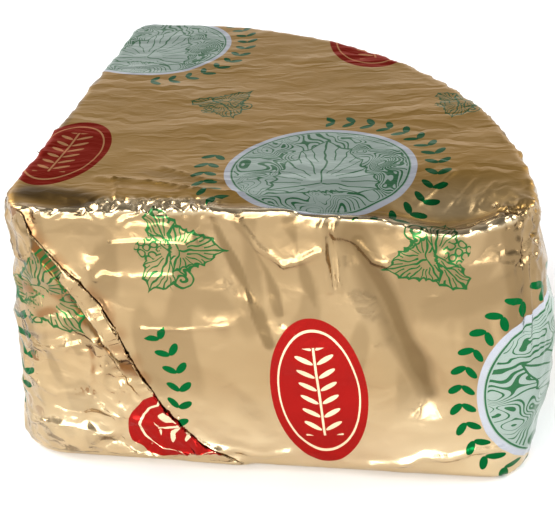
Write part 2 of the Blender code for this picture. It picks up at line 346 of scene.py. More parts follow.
# The print follows the sheet and repeats over it. Each motif has a map of its own, in millimetres
# from its middle: along the foil round the walls, where heights count from the top edge, and flat
# over the top. A motif is given by its part, place, turn in degrees and scale.
OVALS = (
    ("wall", 89.7, -57.7, 4.0, 1.0),
    ("top", 9.5, 39.0, -3.0, 0.93),
    ("top", 96.5, 131.5, 12.0, 1.0),
    ("wall", 236.0, -40.0, 10.0, 1.0),
    ("wall", 338.0, -52.0, -6.0, 1.0),
    ("wall", -132.0, -50.0, 4.0, 1.0),
)
ROUNDELS = (
    ("top", 89.5, 29.0, 15.0, 1.0),
    ("top", 17.0, 132.0, 0.0, 1.0),
    ("wall", 164.5, -57.0, 80.0, 1.06),
    ("wall", 286.0, -50.0, 20.0, 1.0),
    ("wall", -78.0, -44.0, 10.0, 1.0),
)
WREATHS = (
    ("top", 89.5, 29.0, 10.0, 1.0),
    ("top", 17.0, 132.0, 0.0, 1.0),
    ("wall", 164.5, -57.0, 160.0, 1.0),
    ("wall", 14.0, -57.0, -50.0, 1.0),
    ("wall", 286.0, -50.0, 20.0, 1.0),
    ("wall", -78.0, -44.0, 10.0, 1.0),
)
SPRIGS = (
    ("top", 51.8, 79.0, 5.0, 0.9),
    ("top", 129.0, 75.5, -30.0, 0.8),
    ("wall", 50.6, -11.5, -50.0, 1.05),
    ("wall", 123.0, -13.5, 150.0, 1.0),
    ("wall", 206.0, -22.0, 15.0, 1.0),
    ("wall", 330.0, -16.0, 10.0, 1.0),
    ("wall", -122.0, -12.0, 18.0, 1.0),
)
FAR_AWAY = 900.0
# The top is counted down to this depth, and a strip of it behind the front edge may show motifs of
# the front, up to the right corner.
TOP_DEPTH = 9.0
EDGE_STRIP, EDGE_STRIP_END = 14.0, 140.0


def face_corners(mesh):
    """The point and the face of every corner of every face, and how many corners each face has."""
    point = np.empty(len(mesh.loops), np.int32)
    mesh.loops.foreach_get("vertex_index", point)
    count = np.empty(len(mesh.polygons), np.int32)
    mesh.polygons.foreach_get("loop_total", count)
    return point, np.repeat(np.arange(len(count)), count), count


def sheet_places(mesh):
    """The place on the sheet of every corner of every face, in millimetres, and which faces are top."""
    places, _ = mesh_points(mesh)
    point, face, count = face_corners(mesh)
    middles = np.stack([np.bincount(face, places[point, i]) / count for i in range(3)], axis=1)
    facing = np.empty(len(count) * 3)
    mesh.polygon_normals.foreach_get("vector", facing)
    facing = facing.reshape(-1, 3)
    lowest_top = HEIGHT - TOP_DEPTH - sunk(middles[:, 0]) * (middles[:, 1] < 30.0)
    is_top = (facing[:, 2] > 0.62) & (middles[:, 2] > lowest_top)
    u = wall_run(places[:, 0], places[:, 1])[point]
    middle_u = wall_run(middles[:, 0], middles[:, 1])
    # A face across the seam at the far corner takes all its places from its middle's side.
    torn = np.abs(u - middle_u[face]) > 20.0
    u[torn] = middle_u[face][torn]
    v = places[point, 2] - HEIGHT
    flat = is_top[face]
    u[flat] = places[point, 0][flat]
    v[flat] = places[point, 1][flat]
    return u, v, face, is_top, count


def put_map(mesh, name, places):
    """Writes a map of one place for each corner of each face."""
    layer = mesh.uv_layers.get(name) or mesh.uv_layers.new(name=name)
    layer.uv.foreach_set("vector", places.ravel())


def motif_places(motifs, sheet):
    """For each corner, its place from the middle of the motif that is nearest to its face."""
    u, v, face, is_top, count = sheet
    middle_u = np.bincount(face, u) / count
    middle_v = np.bincount(face, v) / count
    best = np.full(len(count), 1e9)
    local = np.full((len(u), 2), FAR_AWAY)
    # A motif of the front may run on over the top front edge.
    over_edge = (middle_v < EDGE_STRIP) & is_top
    for part, at_u, at_v, turn, scale in motifs:
        fits = is_top if part == "top" else ~is_top | (over_edge & (at_u < EDGE_STRIP_END))
        gap = np.where(fits, np.hypot(middle_u - at_u, middle_v - at_v), 1e9)
        nearer = gap < best
        best[nearer] = gap[nearer]
        mine = nearer[face]
        du, dv = (u[mine] - at_u) / scale, (v[mine] - at_v) / scale
        c, s = math.cos(math.radians(turn)), math.sin(math.radians(turn))
        local[mine] = np.stack((c * du + s * dv, -s * du + c * dv), axis=1)
    return local


u, v, face, is_top, count = sheet_places(wrapper.data)
put_map(wrapper.data, "sheet", np.stack((u, v), axis=1))
# Nothing is drawn where the flap lies over the sheet.
covered = (u > FLAP_END) & (edge_run(v + HEIGHT) - u > 3.0) & ~is_top[face]
u = np.where(covered, FAR_AWAY, u)
for name, motifs in (("oval", OVALS), ("roundel", ROUNDELS), ("wreath", WREATHS)):
    put_map(wrapper.data, name, motif_places(motifs, (u, v, face, is_top, count)))
# The sprigs run on over the sunken edge, so there the top is counted from the edge.
v = v - np.where(is_top[face], sunk(u) * ramp(v, EDGE_STRIP, 0.0), 0.0)
put_map(wrapper.data, "sprig", motif_places(SPRIGS, (u, v, face, is_top, count)))


def linear(code):
    """A screen colour as RRGGBB turned into the linear colour that a shader takes."""
    channels = [int(code[i : i + 2], 16) / 255 for i in (0, 2, 4)]
    return tuple(c / 12.92 if c <= 0.04045 else ((c + 0.055) / 1.055) ** 2.4 for c in channels) + (1.0,)


def add_node(tree, kind, *inputs, out=0, **settings):
    """Adds a node with its settings, then sets or links its inputs, which are given in order or as one
    dict by name or number. Gives back one of the node's outputs."""
    node = tree.nodes.new("ShaderNode" + kind)
    for name, value in settings.items():
        setattr(node, name, value)
    given = inputs[0] if inputs and isinstance(inputs[0], dict) else dict(enumerate(inputs))
    for key, value in given.items():
        if isinstance(value, bpy.types.NodeSocket):
            tree.links.new(value, node.inputs[key])
        else:
            node.inputs[key].default_value = value
    return node.outputs[out]


# The material: thin rolled aluminium foil under gold lacquer, printed in red, green and pale grey. To
# the eye it is a satin gold that is browner and duller on top and brighter on the walls, with fine
# wrinkles that glint. The darker gold, red and cream on top are painted shade.
GOLD = linear("C3A880")
# The top's darker gold is painted shade.
GOLD_TOP_SHADED = linear("B98F49")
GOLD_THICK = linear("9C7C46")
# Painted shade for valleys, facets and folds that mirror less light.
GOLD_PAINTED_SHADE = linear("543F20")
# Painted highlight: the pale gold of crests and of the foot, where the foil mirrors the table.
GOLD_PAINTED_HIGHLIGHT = linear("DCC9A6")
# Amber painted shadow beside the flap's free edge and in the hem's fold.
AMBER_PAINTED_SHADE = linear("7E4B22")
RED = linear("9C100A")
# The red on top is a darker copy of the red, painted shade.
RED_TOP_SHADED = linear("82170F")
RED_ASLANT = (1.0, 0.6, 0.55, 1.0)
CREAM = linear("F0D9B4")
# The cream on top is a darker copy of the cream, painted shade.
CREAM_TOP_SHADED = linear("C09468")
GREEN = linear("085C2C")
ROUNDEL_EDGE = linear("B6B9C1")
ROUNDEL_FIELD = linear("9EADA4")
WHITE = (1.0, 1.0, 1.0, 1.0)

# Sizes of the print in millimetres. Leaf pairs are given by their spacing along the stem, their
# middle's distance from it, half their length and half their width, and how far back they sit.
ROUNDEL_RADIUS, FIELD_RADIUS, RING_RADIUS, ENGRAVED_RADIUS = 28.0, 26.3, 25.8, 25.2
ROUNDEL_LEAF_FOOT, ROUNDEL_LEAF_TURN, ROUNDEL_LEAF_SIZE = (-1.0, -10.0, 0.0), -0.2, 30.0
WREATH_RADIUS, WREATH_PAIRS, WREATH_LEAVES = 34.0, 34, (6.3, 1.85, 1.95, 1.35, 0.0)
WREATH_LONG_ARC, WREATH_SHORT_ARC = 1.45, 2.62
OVAL_HALVES, OVAL_RING = (14.2, 24.8, 1.0), 0.83
GARLAND_LEAVES, GARLAND_STEM, GARLAND_HALF = (4.6, 3.1, 2.5, 0.85, 1.8), 0.35, 15.2
SPRIG_REACH = 17.0
SPRIG_LEAVES = (
    ((-1.6, 0.4, 0.0), 1.25, 11.5),
    ((0.8, -0.6, 0.0), -2.85, 14.5),
    ((1.2, 1.6, 0.0), -0.75, 12.5),
)
BUNCH_AT, BUNCH_HALVES = (-4.6, -4.8, 0.0), (3.4, 4.2, 1.0)
TENDRIL_AT, TENDRIL_PITCH, TENDRIL_RADIUS = (8.4, -4.6, 0.0), 1.7, 3.6
LEAF_LOBES, LEAF_BROAD_RAYS, LEAF_FINE_RAYS = 1.73, 10.38, 20.76
LEAF_LINE = 0.40
LEAF_LEAN = -0.55
BERRY_SPACING = 2.5
WAVE_BANDS = 44.0
INK, SHADE = 0.92, 0.14
# How many patches of each noise lie in a millimetre.
TONE_PATCHES, ROUGH_PATCHES, FOLD_PATCHES = 0.035, 0.12, 0.10
WAVE_PATCHES, WEIGHT_PATCHES, LEAF_PATCHES = 0.085, 0.07, 0.22
# Behind the top front edge, the distances where the deeper gold of the top, painted shade, begins and is
# full.
TOP_GOLD = (2.5, 7.0)
LESS_METAL = 0.18
ROUGH_LEAST, ROUGH_PATCHY, ROUGH_ON_TOP = 0.13, 0.16, 0.14
# Sizes of the facets in millimetres. The finest are drawn coarser than the real ones, so that they show.
FACET_SIZES, FACET_SHIFTS = (24.0, 10.0, 4.0), (0.0, 40.0, 80.0)


def foil_material(name, slopes, calm_top):
    """Printed gold foil. The print is drawn from the motif maps, in millimetres. The slopes are those of
    its facets at the three sizes, and calm_top is how much flatter they are on top."""
    material = bpy.data.materials.new(name)
    material.use_nodes = True
    tree = material.node_tree
    shader = tree.nodes["Principled BSDF"]
    add = partial(add_node, tree)

    def shaken(place, drift, reach):
        """Places moved about by a noise colour, up to half of the reach each way."""
        drift = add("VectorMath", drift, (0.5, 0.5, 0.5), operation="SUBTRACT")
        drift = add("VectorMath", {0: drift, "Scale": reach}, operation="SCALE")
        return add("VectorMath", place, drift, operation="ADD")

    def vine_leaf(place, size):
        """Line drawing of a vine leaf that fans out from its foot: its lines, and its inside."""
        parts = add("SeparateXYZ", place).node.outputs
        turn = add("Math", parts[0], parts[1], operation="ARCTAN2")
        radius = add("VectorMath", place, out=1, operation="LENGTH")
        fans = []
        for rays in (LEAF_LOBES, LEAF_BROAD_RAYS, LEAF_FINE_RAYS):
            fan = add("Math", turn, rays, operation="MULTIPLY")
            fan = add("Math", fan, operation="SINE")
            fans.append(add("Math", fan, operation="ABSOLUTE"))
        lobes, broad, narrow = fans
        reach = add("Math", lobes, -0.38, 1.0, operation="MULTIPLY_ADD")
        reach = add("Math", broad, -0.07, reach, operation="MULTIPLY_ADD")
        ahead = add("Math", turn, operation="COSINE")
        ahead = add("Math", ahead, 0.36, 0.64, operation="MULTIPLY_ADD")
        reach = add("Math", reach, ahead, operation="MULTIPLY")
        reach = add("Math", reach, size, operation="MULTIPLY")
        inside = add("Math", radius, reach, operation="LESS_THAN")
        outline = add("Math", radius, reach, LEAF_LINE, operation="COMPARE")
        veins = add("Math", lobes, radius, operation="MULTIPLY")
        veins = add("Math", veins, 0.5, operation="LESS_THAN")
        for fan, rays, start in ((broad, LEAF_BROAD_RAYS, 0.2), (narrow, LEAF_FINE_RAYS, 0.5)):
            drawn = add("Math", fan, radius, operation="MULTIPLY")
            drawn = add("Math", drawn, rays * 0.19, operation="LESS_THAN")
            past = add("Math", radius, size * start, operation="GREATER_THAN")
            drawn = add("Math", drawn, past, operation="MULTIPLY")
            veins = add("Math", veins, drawn, operation="MAXIMUM")
        veins = add("Math", veins, inside, operation="MULTIPLY")
        return add("Math", outline, veins, operation="MAXIMUM"), inside

    def leaf_pairs(across, steps, spacing, middle, half_length, half_width, back):
        """Pairs of small leaves that lean forward on both sides of a stem."""
        along = add("Math", steps, operation="FRACT")
        along = add("Math", along, 0.5, operation="SUBTRACT")
        along = add("Math", along, spacing, back, operation="MULTIPLY_ADD")
        lean = add("Math", across, LEAF_LEAN, along, operation="MULTIPLY_ADD")
        lean = add("Math", lean, half_width, operation="DIVIDE")
        reach = add("Math", across, middle, operation="SUBTRACT")
        reach = add("Math", reach, half_length, operation="DIVIDE")
        reach = add("Math", reach, reach, operation="MULTIPLY")
        reach = add("Math", lean, lean, reach, operation="MULTIPLY_ADD")
        return add("Math", reach, 1.0, operation="LESS_THAN")

    # Gold, darker on top as painted shade, a little warmer and browner where the lacquer is thicker, and
    # then what each point of the sheet keeps: painted shade in drawn valleys, amber painted shade and
    # painted highlights on crests.
    sheet_map = add("UVMap", uv_map="sheet")
    from_edge = add("SeparateXYZ", sheet_map).node.outputs[1]
    on_top = add("MapRange", from_edge, *TOP_GOLD)
    gold = add("Mix", {0: on_top, 6: GOLD, 7: GOLD_TOP_SHADED}, out=2, data_type="RGBA")
    tone = add("TexNoise", {"Vector": sheet_map, "Scale": TONE_PATCHES, "Detail": 3.0})
    tone = add("Math", tone, 0.35, operation="MULTIPLY")
    gold = add("Mix", {0: tone, 6: gold, 7: GOLD_THICK}, out=2, data_type="RGBA")
    tints = (("painted_shade", 0.9, GOLD_PAINTED_SHADE), ("amber_painted_shade", 1.0, AMBER_PAINTED_SHADE), ("painted_highlight", 1.0, GOLD_PAINTED_HIGHLIGHT))
    for kept, strength, tint in tints:
        share = add("Attribute", out=2, attribute_name=kept)
        share = add("Math", share, strength, operation="MULTIPLY")
        gold = add("Mix", {0: share, 6: gold, 7: tint}, out=2, data_type="RGBA")

    # Roundels: a lilac-grey edge, a grey-green field engraved with waves, and a large vine leaf.
    roundel = add("UVMap", uv_map="roundel")
    radius = add("VectorMath", roundel, out=1, operation="LENGTH")
    in_roundel = add("Math", radius, ROUNDEL_RADIUS, operation="LESS_THAN")
    colour = add("Mix", {0: in_roundel, 6: gold, 7: ROUNDEL_EDGE}, out=2, data_type="RGBA")
    in_field = add("Math", radius, FIELD_RADIUS, operation="LESS_THAN")
    colour = add("Mix", {0: in_field, 6: colour, 7: ROUNDEL_FIELD}, out=2, data_type="RGBA")
    waves = {"Vector": roundel, "Scale": WAVE_PATCHES, "Detail": 1.2, "Distortion": 0.5}
    waves = add("TexNoise", waves)
    bands = add("Math", waves, WAVE_BANDS, operation="MULTIPLY")
    bands = add("Math", bands, 1.0, operation="PINGPONG")
    weight = add("TexNoise", {"Vector": roundel, "Scale": WEIGHT_PATCHES, "Detail": 1.0})
    weight = add("Math", weight, 1.5, -0.40, operation="MULTIPLY_ADD")
    engraved = add("Math", bands, weight, operation="LESS_THAN")
    place = shaken(roundel, waves.node.outputs[1], 6.0)
    turn = (0.0, 0.0, ROUNDEL_LEAF_TURN)
    place = add("Mapping", place, ROUNDEL_LEAF_FOOT, turn, vector_type="TEXTURE")
    lines, inside = vine_leaf(place, ROUNDEL_LEAF_SIZE)
    outside = add("Math", 1.0, inside, operation="SUBTRACT")
    engraved = add("Math", engraved, outside, operation="MULTIPLY")
    engraved = add("Math", engraved, lines, operation="MAXIMUM")
    within = add("Math", radius, ENGRAVED_RADIUS, operation="LESS_THAN")
    engraved = add("Math", engraved, within, operation="MULTIPLY")
    ring = add("Math", radius, RING_RADIUS, 0.25, operation="COMPARE")
    engraved = add("Math", engraved, ring, operation="MAXIMUM")
    engraved = add("Math", engraved, INK, operation="MULTIPLY")
    colour = add("Mix", {0: engraved, 6: colour, 7: GREEN}, out=2, data_type="RGBA")

    # Wreaths: pairs of small laurel leaves in a long and a short arc round each roundel.
    wreath = add("UVMap", uv_map="wreath")
    parts = add("SeparateXYZ", wreath).node.outputs
    bearing = add("Math", parts[1], parts[0], operation="ARCTAN2")
    across = add("VectorMath", wreath, out=1, operation="LENGTH")
    across = add("Math", across, WREATH_RADIUS, operation="SUBTRACT")
    across = add("Math", across, operation="ABSOLUTE")
    steps = add("Math", bearing, WREATH_PAIRS / math.tau, operation="MULTIPLY")
    leaves = leaf_pairs(across, steps, *WREATH_LEAVES)
    bearing = add("Math", bearing, operation="ABSOLUTE")
    long_arc = add("Math", bearing, WREATH_LONG_ARC, operation="LESS_THAN")
    short_arc = add("Math", bearing, WREATH_SHORT_ARC, operation="GREATER_THAN")
    arcs = add("Math", long_arc, short_arc, operation="MAXIMUM")
    leaves = add("Math", leaves, arcs, operation="MULTIPLY")
    colour = add("Mix", {0: leaves, 6: colour, 7: GREEN}, out=2, data_type="RGBA")

    # Vine sprigs: three leaves, a bunch of berries and a curled tendril, in green line.
    sprig = add("UVMap", uv_map="sprig")
    drift = add("TexNoise", {"Vector": sprig, "Scale": LEAF_PATCHES, "Detail": 1.0}, out=1)
    sprig = shaken(sprig, drift, 3.2)
    near = add("VectorMath", sprig, out=1, operation="LENGTH")
    near = add("Math", near, SPRIG_REACH, operation="LESS_THAN")
    drawn, shade = 0.0, 0.0
    for foot, turn, size in SPRIG_LEAVES:
        place = add("Mapping", sprig, foot, (0.0, 0.0, turn), vector_type="TEXTURE")
        lines, inside = vine_leaf(place, size)
        outside = add("Math", 1.0, inside, operation="SUBTRACT")
        drawn = add("Math", drawn, outside, operation="MULTIPLY")
        drawn = add("Math", drawn, lines, operation="MAXIMUM")
        shade = add("Math", shade, inside, operation="MAXIMUM")
    berries = {"Vector": sprig, "Scale": 1 / BERRY_SPACING, "Randomness": 0.35}
    berries = add("TexVoronoi", berries, voronoi_dimensions="2D")
    berries = add("Math", berries, 0.39, 0.10, operation="COMPARE")
    bunch = add("Mapping", {0: sprig, 1: BUNCH_AT, 3: BUNCH_HALVES}, vector_type="TEXTURE")
    bunch = add("VectorMath", bunch, out=1, operation="LENGTH")
    bunch = add("Math", bunch, 1.0, operation="LESS_THAN")
    berries = add("Math", berries, bunch, operation="MULTIPLY")
    outside = add("Math", 1.0, bunch, operation="SUBTRACT")
    drawn = add("Math", drawn, outside, operation="MULTIPLY")
    drawn = add("Math", drawn, berries, operation="MAXIMUM")
    curl = add("Mapping", sprig, TENDRIL_AT, vector_type="TEXTURE")
    parts = add("SeparateXYZ", curl).node.outputs
    curl = add("VectorMath", curl, out=1, operation="LENGTH")
    turn = add("Math", parts[1], parts[0], operation="ARCTAN2")
    turn = add("Math", turn, math.tau, operation="DIVIDE")
    spiral = add("Math", curl, TENDRIL_PITCH, operation="DIVIDE")
    spiral = add("Math", spiral, turn, operation="SUBTRACT")
    spiral = add("Math", spiral, operation="FRACT")
    spiral = add("Math", spiral, 0.5, 0.19, operation="COMPARE")
    within = add("Math", curl, TENDRIL_RADIUS, operation="LESS_THAN")
    spiral = add("Math", spiral, within, operation="MULTIPLY")
    outside = add("Math", 1.0, shade, operation="SUBTRACT")
    spiral = add("Math", spiral, outside, operation="MULTIPLY")
    drawn = add("Math", drawn, spiral, operation="MAXIMUM")
    shade = add("Math", shade, bunch, operation="MAXIMUM")
    for share, strength in ((shade, SHADE), (drawn, INK)):
        share = add("Math", share, near, operation="MULTIPLY")
        share = add("Math", share, strength, operation="MULTIPLY")
        colour = add("Mix", {0: share, 6: colour, 7: GREEN}, out=2, data_type="RGBA")

    # Red ovals: a cream line inside the edge, and a garland of leaves along the long way.
    oval = add("UVMap", uv_map="oval")
    reach = add("VectorMath", oval, OVAL_HALVES, operation="DIVIDE")
    reach = add("VectorMath", reach, out=1, operation="LENGTH")
    red = add("Math", reach, 1.0, operation="LESS_THAN")
    ring = add("Math", reach, OVAL_RING, 0.018, operation="COMPARE")
    parts = add("SeparateXYZ", oval).node.outputs
    across = add("Math", parts[0], operation="ABSOLUTE")
    steps = add("Math", parts[1], 1 / GARLAND_LEAVES[0], operation="MULTIPLY")
    leaves = leaf_pairs(across, steps, *GARLAND_LEAVES)
    stem = add("Math", across, GARLAND_STEM, operation="LESS_THAN")
    garland = add("Math", leaves, stem, operation="MAXIMUM")
    within = add("Math", parts[1], operation="ABSOLUTE")
    within = add("Math", within, GARLAND_HALF, operation="LESS_THAN")
    garland = add("Math", garland, within, operation="MULTIPLY")
    cream = add("Math", ring, garland, operation="MAXIMUM")
    cream = add("Math", cream, red, operation="MULTIPLY")
    # On top the red and cream take their darker copies, painted shade.
    for share, on_wall, above in ((red, RED, RED_TOP_SHADED), (cream, CREAM, CREAM_TOP_SHADED)):
        ink = add("Mix", {0: on_top, 6: on_wall, 7: above}, out=2, data_type="RGBA")
        colour = add("Mix", {0: share, 6: colour, 7: ink}, out=2, data_type="RGBA")
    tree.links.new(colour, shader.inputs["Base Color"])

    # Printed fields are less mirror-like than bare lacquer. Seen aslant, the red on top keeps its
    # colour where bare lacquer turns pale.
    off_top = add("Math", 1.0, on_top, operation="SUBTRACT")
    printed = add("Math", red, off_top, operation="MULTIPLY")
    printed = add("Math", printed, in_roundel, operation="MAXIMUM")
    metal = add("Math", printed, -LESS_METAL, 1.0, operation="MULTIPLY_ADD")
    tree.links.new(metal, shader.inputs["Metallic"])
    red_on_top = add("Math", red, on_top, operation="MULTIPLY")
    aslant = add("Mix", {0: red_on_top, 6: WHITE, 7: RED_ASLANT}, out=2, data_type="RGBA")
    tree.links.new(aslant, shader.inputs["Specular Tint"])
    patchy = add("TexNoise", {"Vector": sheet_map, "Scale": ROUGH_PATCHES, "Detail": 3.0})
    rough = add("Math", patchy, ROUGH_PATCHY, ROUGH_LEAST, operation="MULTIPLY_ADD")
    rough = add("Math", on_top, ROUGH_ON_TOP, rough, operation="MULTIPLY_ADD")
    tree.links.new(rough, shader.inputs["Roughness"])

    # Fine crumples: flat facets between sharp folds at three sizes, drawn out sideways on top, and
    # uneven in strength from place to place.
    drift = add("TexNoise", {"Vector": sheet_map, "Scale": FOLD_PATCHES, "Detail": 2.0}, out=1)
    bent = shaken(sheet_map, drift, 9.0)
    sideways = add("Math", on_top, -0.25, 1.0, operation="MULTIPLY_ADD")
    lengthways = add("Math", on_top, 1.6, 1.0, operation="MULTIPLY_ADD")
    squeeze = add("CombineXYZ", sideways, lengthways, 1.0)
    bent = add("VectorMath", bent, squeeze, operation="MULTIPLY")
    relief = 0.0
    for size, slope, shift in zip(FACET_SIZES, slopes, FACET_SHIFTS):
        moved = add("VectorMath", bent, (shift, shift * 1.7, 0.0), operation="ADD")
        cells = {"Vector": moved, "Scale": 1 / size, "Randomness": 1.0}
        cells = add("TexVoronoi", cells, feature="DISTANCE_TO_EDGE", voronoi_dimensions="2D")
        uneven = {"Vector": moved, "Scale": 0.6 / size, "Detail": 0.0}
        uneven = add("TexNoise", uneven, noise_dimensions="2D")
        uneven = add("Math", uneven, 2.6, -0.75, operation="MULTIPLY_ADD", use_clamp=True)
        tall = add("Math", cells, size * slope, operation="MULTIPLY")
        relief = add("Math", tall, uneven, relief, operation="MULTIPLY_ADD")
    calm = add("Math", on_top, -calm_top, 1.0, operation="MULTIPLY_ADD")
    relief = add("Math", relief, calm, operation="MULTIPLY")
    bump = add("Bump", {"Strength": 1.0, "Distance": MM, "Height": relief})
    tree.links.new(bump, shader.inputs["Normal"])
    return material


def put_share(mesh, name, share):
    """Keeps one number from 0 to 1 at each point of the mesh."""
    layer = mesh.attributes.new(name=name, type="FLOAT", domain="POINT")
    layer.data.foreach_set("value", np.clip(share, 0.0, 1.0))


# Amber painted shadow lies on the front beside the flap's free edge.
EDGE_SHADE_WIDTH, EDGE_SHADE_SHARE = 4.0, 0.6
places, normals = mesh_points(wrapper.data)
x, y, level = places.T
run = wall_run(x, y)
beside = run - edge_run(level)
patchy = ramp(crumple(places, 6.0, 21, ridged=False), -0.55, 0.45)
amber_painted_shade = np.clip(1 - beside / EDGE_SHADE_WIDTH, 0.0, 1.0) * patchy * (normals[:, 1] < -0.5) * (level > 12.0)
put_share(wrapper.data, "amber_painted_shade", EDGE_SHADE_SHARE * amber_painted_shade)

# Painted shade where the foil is drawn into valleys and mirrors less light: slanting bands down the
# front, the right corner, and the gutter along the top front edge. Bands on the walls have points
# along the foil and above the bottom, a width, the part of it that is lost towards the end, and a
# share. Bands on top have points on the plan, a width and a share.
WALL_BANDS = (
    (((101.5, 79.0), (105.6, 71.0), (109.9, 58.3), (115.2, 45.6), (121.0, 30.0)), 9.5, 0.35, 0.70),
    (((102.5, 77.0), (108.0, 66.0), (112.0, 55.0), (117.0, 43.0), (121.5, 29.0)), 4.6, 0.15, 0.84),
    (((12.0, 80.5), (30.0, 81.5), (62.0, 82.0)), 3.6, 0.0, 0.5),
    (((62.4, 85.0), (67.6, 71.8), (76.2, 46.0)), 2.4, 0.0, 0.75),
    (((70.5, 84.0), (76.8, 68.8), (80.0, 55.0)), 3.6, 0.4, 0.65),
    (((84.0, 84.0), (88.0, 66.0), (90.0, 58.0)), 4.0, 0.3, 0.65),
    (((124.0, 58.0), (136.0, 62.0), (146.0, 66.0)), 13.0, 0.0, 0.56),
    (((48.0, 60.0), (58.0, 40.0)), 7.0, 0.0, 0.2),
    (((143.0, 80.0), (146.0, 50.0)), 7.5, 0.0, 0.72),
    (((151.0, 80.0), (153.0, 50.0)), 6.0, 0.0, 0.6),
    (((168.0, 86.0), (172.0, 42.0)), 14.0, 0.0, 0.55),
)
TOP_BANDS = (
    (((6.0, 12.0), (14.0, 10.5), (27.5, 6.5)), 6.5, 1.0),
    (((112.0, 4.0), (126.0, 4.5), (138.0, 6.0)), 2.5, 0.12),
    (((140.0, 4.0), (148.0, 10.0)), 6.0, 0.3),
    (((38.0, 26.0), (50.0, 22.0), (62.0, 18.0)), 4.0, 0.25),
    (((0.6, 24.0), (3.6, 150.0)), 2.4, 0.7),
)
# A band is at its full share within these parts of its width, and its edges waver.
FULL_ON_WALL, FULL_ON_TOP = 0.2308, 0.2
wavering = 1.2 * crumple(places, 12.0, 23, ridged=False)
on_wall = normals[:, 2] < 0.6
painted_shade = np.zeros(len(run))
for points, width, taper, share in WALL_BANDS:
    gap, along = line_distance(points, run, level)
    width = width * (1 - taper * along / along.max())
    painted_shade = np.maximum(painted_shade, share * ramp((gap + wavering) / width, 1.0, FULL_ON_WALL) * on_wall)
for points, width, share in TOP_BANDS:
    gap, _ = line_distance(points, x, y)
    painted_shade = np.maximum(painted_shade, share * ramp((gap + wavering) / width, 1.0, FULL_ON_TOP) * ~on_wall)
# Painted shade for drawn facets that mirror different parts of the room: the walls darken upwards
# and are patchy, mostly from top to bottom.
shaded = 0.24 * ramp(level, 8.0, 34.0) + 0.12 * ramp(level, 52.0, 76.0)
drape = crumple(places, (9.0, 9.0, 30.0), 31, ridged=False)
shaded += 0.22 * ramp(drape, -0.0385, 0.3462) * ramp(level, 14.0, 34.0)
put_share(wrapper.data, "painted_shade", np.maximum(painted_shade, shaded * on_wall))

# Painted highlight and reflection: the foil is painted palest near the table, which it mirrors, along
# the top of its crest, in the crushed gutter and on the slope behind the sunken edge.
painted_highlight = 0.5 * ramp(level, 34.0, 6.0) * on_wall
on_crest = ramp(level - (HEIGHT - sunk(x)), -1.4, -0.2) * ramp(y, 3.6, 1.6) * (x > 8.0)
painted_highlight = np.maximum(painted_highlight, 0.55 * on_crest)
in_gutter = ramp(x, 26.0, 31.0) * ramp(x, 68.0, 58.0) * ramp(y, 10.0, 7.0) * ~on_wall
painted_highlight = np.maximum(painted_highlight, 0.55 * in_gutter)
sloping = sunk(x) / max(DIP_DEPTHS) * ramp(y, 28.0, 10.0) * ramp(y, 5.0, 10.0) * ~on_wall
put_share(wrapper.data, "painted_highlight", np.maximum(painted_highlight, 0.5 * sloping))

# Drawn tight over the cheese, the sheet has only slight facets, and flatter ones on top.
SHEET_SLOPES, SHEET_CALM_TOP = (0.065, 0.04, 0.035), 0.42
foil = foil_material("printed_gold_lacquered_foil", SHEET_SLOPES, SHEET_CALM_TOP)
wrapper.data.materials.clear()
wrapper.data.materials.append(foil)
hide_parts("foil_wrapped_wedge")
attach(wrapper, "root")

# The flap. The loose side of the sheet is turned round the tip corner, and its folded edge runs
# aslant down the front. It is the same printed foil, laid on the wrapper and a little lifted at
# its edge, and its own crumples are smaller and brighter.
FLAP_COLUMNS, FLAP_ROWS = 150, 130
FLAP_FOOT, FLAP_TALL = 0.5, HEIGHT - 0.9
FLAP_PASSES = 3
FLAP_GAP = 0.30
LAID_FROM = 9.0
# The real foil is thinner, about 0.02 mm. It is drawn thicker so that its edge shows.
FOIL_THICK = 0.22
EDGE_OVERHANG, EDGE_WAVE, EDGE_WAVE_LENGTH = 0.25, 0.35, 6.0
LEFT_SLOPE = 0.0234


def wall_place(run, level, out):
    """Place beside the walls for a distance along the foil, near the tip, `out` from the plain wall."""
    x, y = run.copy(), np.zeros(len(run))
    nx, ny = np.zeros(len(run)), -np.ones(len(run))
    turn = (TIP_ROUND - run) / TIP_ROUND
    tip = (turn > 0) & (turn <= math.pi / 2)
    x[tip] = (TIP_ROUND - TIP_ROUND * np.sin(turn))[tip]
    y[tip] = (TIP_ROUND - TIP_ROUND * np.cos(turn))[tip]
    nx[tip], ny[tip] = -np.sin(turn)[tip], -np.cos(turn)[tip]
    side = turn > math.pi / 2
    x[side], y[side] = (LEFT_SLOPE * (LEFT_START - run))[side], (LEFT_START - run)[side]
    nx[side], ny[side] = -1.0, 0.02
    return np.stack((x + nx * out, y + ny * out, level), axis=1)


bpy.ops.object.select_all(action="DESELECT")
bpy.ops.mesh.primitive_grid_add(x_subdivisions=FLAP_COLUMNS, y_subdivisions=FLAP_ROWS, size=2.0)
flap = bpy.context.view_layer.objects.active
flap.name = "foil_flap"
flap.data.name = "foil_flap"
grid = np.empty(len(flap.data.vertices) * 3)
flap.data.vertices.foreach_get("co", grid)
across, up_share = (grid.reshape(-1, 3)[:, 0] + 1) / 2, (grid.reshape(-1, 3)[:, 1] + 1) / 2
level = FLAP_FOOT + FLAP_TALL * up_share
wavy = np.array([noise.noise(Vector((0.0, z / EDGE_WAVE_LENGTH, 4.0))) for z in level])
edge = edge_run(level) + EDGE_OVERHANG + EDGE_WAVE * wavy
run = FLAP_END + (edge - FLAP_END) * across ** 0.9
put_points(flap.data, wall_place(run, level, LAID_FROM))
cling = flap.modifiers.new("cling", "SHRINKWRAP")
cling.target = wrapper
cling.wrap_method = "NEAREST_SURFACEPOINT"
cling.wrap_mode = "ABOVE_SURFACE"
